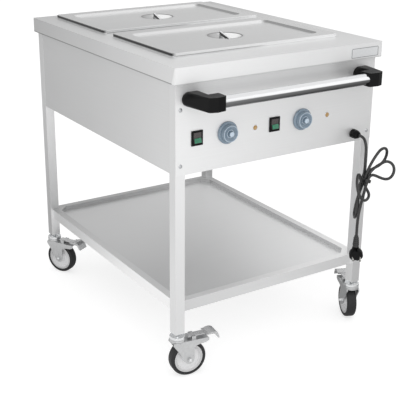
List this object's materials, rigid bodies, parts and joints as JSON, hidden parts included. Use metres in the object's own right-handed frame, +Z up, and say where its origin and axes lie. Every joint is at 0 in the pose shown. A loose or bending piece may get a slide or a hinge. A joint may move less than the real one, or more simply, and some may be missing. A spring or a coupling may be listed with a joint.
{
  "type": "hostess trolley",
  "caption": "Square-legged stainless trolley with a heated body that holds lidded food pans, a control panel, a push handle, a lower shelf and braked swivel castors.",
  "frame": {"origin": "on the floor, under the middle of the box round the whole trolley with its castors as they stand, without the cord", "axes": "+X to the right along the control panel, +Y from the push handle to the back, +Z up"},
  "size_m": [0.693, 0.9314, 0.85],
  "materials": {
    "stainless_sheet": "satin brushed",
    "stainless_tube": "satin brushed",
    "stainless_pan": "bright satin",
    "bar_steel": "satin",
    "heater": "matt",
    "black_plastic": "matt",
    "terminal_plastic": "matt",
    "chrome_tube": "polished",
    "screw_steel": "plain",
    "green_plastic": "gloss",
    "knob_plastic": "gloss",
    "amber_lens": "gloss, translucent",
    "badge": "satin",
    "cord_rubber": "matt",
    "zinc_steel": "bright zinc",
    "wheel_plastic": "satin",
    "tread_rubber": "matt",
    "pedal_plastic": "matt"
  },
  "bodies": {
    "trolley": {"top_plate": "stainless_sheet", "left_panel": "stainless_sheet", "right_panel": "stainless_sheet", "back_panel": "stainless_sheet", "control_panel": "stainless_sheet", "body_floor": "stainless_sheet", "leg_front_left": "stainless_tube", "leg_front_right": "stainless_tube", "leg_back_left": "stainless_tube", "leg_back_right": "stainless_tube", "lower_shelf": "stainless_sheet", "front_well": "stainless_pan", "back_well": "stainless_pan", "heating_elements": "heater", "thermostats": "black_plastic", "terminal_block": "terminal_plastic", "left_bracket": "black_plastic", "right_bracket": "black_plastic", "handle_tube": "chrome_tube", "bracket_screws": "screw_steel", "left_switch_frame": "black_plastic", "right_switch_frame": "black_plastic", "pilot_lamps": "amber_lens", "panel_screws": "screw_steel", "badge_plate": "badge", "cable_gland": "black_plastic", "cord_lead": "cord_rubber", "cord_hank": "cord_rubber", "cord_tail": "cord_rubber", "cord_tie": "cord_rubber", "strain_relief": "cord_rubber", "plug": "cord_rubber", "castor_stems": "zinc_steel"},
    "front_pan": {"front_pan": "stainless_pan"},
    "front_lid": {"front_lid": "stainless_pan", "front_lid_handle": "bar_steel"},
    "back_pan": {"back_pan": "stainless_pan"},
    "back_lid": {"back_lid": "stainless_pan", "back_lid_handle": "bar_steel"},
    "left_rocker": {"left_rocker": "green_plastic"},
    "left_knob": {"left_knob": "knob_plastic"},
    "right_rocker": {"right_rocker": "green_plastic"},
    "right_knob": {"right_knob": "knob_plastic"},
    "front_left_castor": {"front_left_fork": "zinc_steel"},
    "front_left_wheel": {"front_left_hub": "wheel_plastic", "front_left_tread": "tread_rubber"},
    "front_left_brake": {"front_left_pedal": "pedal_plastic"},
    "front_right_castor": {"front_right_fork": "zinc_steel"},
    "front_right_wheel": {"front_right_hub": "wheel_plastic", "front_right_tread": "tread_rubber"},
    "front_right_brake": {"front_right_pedal": "pedal_plastic"},
    "back_left_castor": {"back_left_fork": "zinc_steel"},
    "back_left_wheel": {"back_left_hub": "wheel_plastic", "back_left_tread": "tread_rubber"},
    "back_left_brake": {"back_left_pedal": "pedal_plastic"},
    "back_right_castor": {"back_right_fork": "zinc_steel"},
    "back_right_wheel": {"back_right_hub": "wheel_plastic", "back_right_tread": "tread_rubber"},
    "back_right_brake": {"back_right_pedal": "pedal_plastic"}
  },
  "joints": [
    {"name": "front_pan_lift", "type": "slide", "parent": "trolley", "child": "front_pan", "axis": [0, 0, 1], "range_m": [0, 0.2]},
    {"name": "front_lid_lift", "type": "slide", "parent": "front_pan", "child": "front_lid", "axis": [0, 0, 1], "range_m": [0, 0.15]},
    {"name": "back_pan_lift", "type": "slide", "parent": "trolley", "child": "back_pan", "axis": [0, 0, 1], "range_m": [0, 0.2]},
    {"name": "back_lid_lift", "type": "slide", "parent": "back_pan", "child": "back_lid", "axis": [0, 0, 1], "range_m": [0, 0.15]},
    {"name": "left_rocker_tip", "type": "hinge", "parent": "trolley", "child": "left_rocker", "pos_m": [-0.27414, -0.3675, 0.658], "axis": [1, 0, 0], "range_deg": [0, 14]},
    {"name": "left_knob_turn", "type": "hinge", "parent": "trolley", "child": "left_knob", "pos_m": [-0.18414, -0.3705, 0.658], "axis": [0, -1, 0], "range_deg": [-270, 0]},
    {"name": "right_rocker_tip", "type": "hinge", "parent": "trolley", "child": "right_rocker", "pos_m": [-0.03814, -0.3675, 0.658], "axis": [1, 0, 0], "range_deg": [0, 14]},
    {"name": "right_knob_turn", "type": "hinge", "parent": "trolley", "child": "right_knob", "pos_m": [0.05186, -0.3705, 0.658], "axis": [0, -1, 0], "range_deg": [-270, 0]},
    {"name": "front_left_swivel", "type": "hinge", "parent": "trolley", "child": "front_left_castor", "pos_m": [-0.32114, -0.355, 0.11], "axis": [0, 0, 1], "continuous": true},
    {"name": "front_left_wheel_spin", "type": "hinge", "parent": "front_left_castor", "child": "front_left_wheel", "pos_m": [-0.29341, -0.3589, 0.05], "axis": [0.1392, 0.9903, 0], "continuous": true},
    {"name": "front_left_brake_press", "type": "hinge", "parent": "front_left_castor", "child": "front_left_brake", "pos_m": [-0.27955, -0.36085, 0.11], "axis": [0.1392, 0.9903, 0], "range_deg": [0, 8]},
    {"name": "front_right_swivel", "type": "hinge", "parent": "trolley", "child": "front_right_castor", "pos_m": [0.28286, -0.355, 0.11], "axis": [0, 0, 1], "continuous": true},
    {"name": "front_right_wheel_spin", "type": "hinge", "parent": "front_right_castor", "child": "front_right_wheel", "pos_m": [0.29425, -0.32942, 0.05], "axis": [-0.9135, 0.4067, 0], "continuous": true},
    {"name": "front_right_brake_press", "type": "hinge", "parent": "front_right_castor", "child": "front_right_brake", "pos_m": [0.29994, -0.31663, 0.11], "axis": [-0.9135, 0.4067, 0], "range_deg": [0, 8]},
    {"name": "back_left_swivel", "type": "hinge", "parent": "trolley", "child": "back_left_castor", "pos_m": [-0.32114, 0.4315, 0.11], "axis": [0, 0, 1], "continuous": true},
    {"name": "back_left_wheel_spin", "type": "hinge", "parent": "back_left_castor", "child": "back_left_wheel", "pos_m": [-0.30757, 0.40701, 0.05], "axis": [0.8746, 0.4848, 0], "continuous": true},
    {"name": "back_left_brake_press", "type": "hinge", "parent": "back_left_castor", "child": "back_left_brake", "pos_m": [-0.30078, 0.39477, 0.11], "axis": [0.8746, 0.4848, 0], "range_deg": [0, 8]},
    {"name": "back_right_swivel", "type": "hinge", "parent": "trolley", "child": "back_right_castor", "pos_m": [0.28286, 0.4315, 0.11], "axis": [0, 0, 1], "continuous": true},
    {"name": "back_right_wheel_spin", "type": "hinge", "parent": "back_right_castor", "child": "back_right_wheel", "pos_m": [0.25581, 0.42425, 0.05], "axis": [0.2588, -0.9659, 0], "continuous": true},
    {"name": "back_right_brake_press", "type": "hinge", "parent": "back_right_castor", "child": "back_right_brake", "pos_m": [0.24229, 0.42063, 0.11], "axis": [0.2588, -0.9659, 0], "range_deg": [0, 8]}
  ]
}
